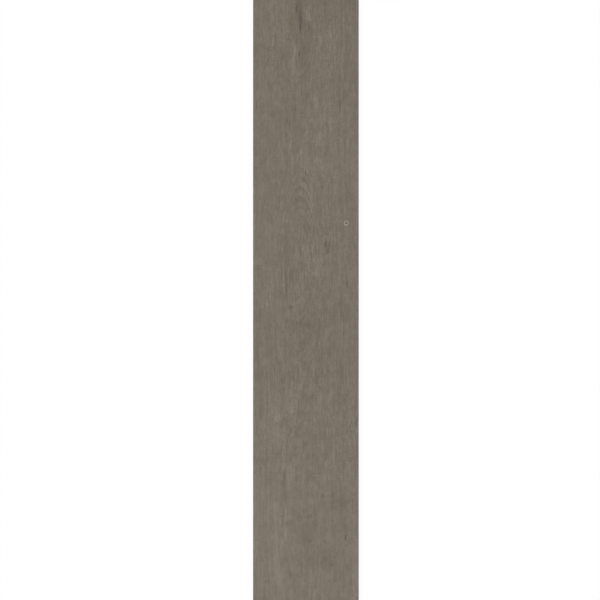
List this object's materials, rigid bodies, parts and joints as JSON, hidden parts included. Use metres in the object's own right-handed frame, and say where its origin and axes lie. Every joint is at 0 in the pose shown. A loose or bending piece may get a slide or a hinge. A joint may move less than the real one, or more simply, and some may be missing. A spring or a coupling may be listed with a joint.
{
  "type": "wood look porcelain plank tile",
  "caption": "Long flat porcelain floor or wall tile with a matte wood grain face, bevelled face edges and a keyed back that beds in adhesive.",
  "frame": {"origin": "middle of the plane that the ribs of the back lie in, which is the middle of the tile's underside", "axes": "+X across the plank, +Y along it, +Z out of the wood grain face; the tile lies flat with its face up"},
  "size_m": [0.2, 1.2, 0.0095],
  "materials": {
    "porcelain": "matte"
  },
  "bodies": {
    "root": {"plank_tile": "porcelain"}
  },
  "joints": []
}
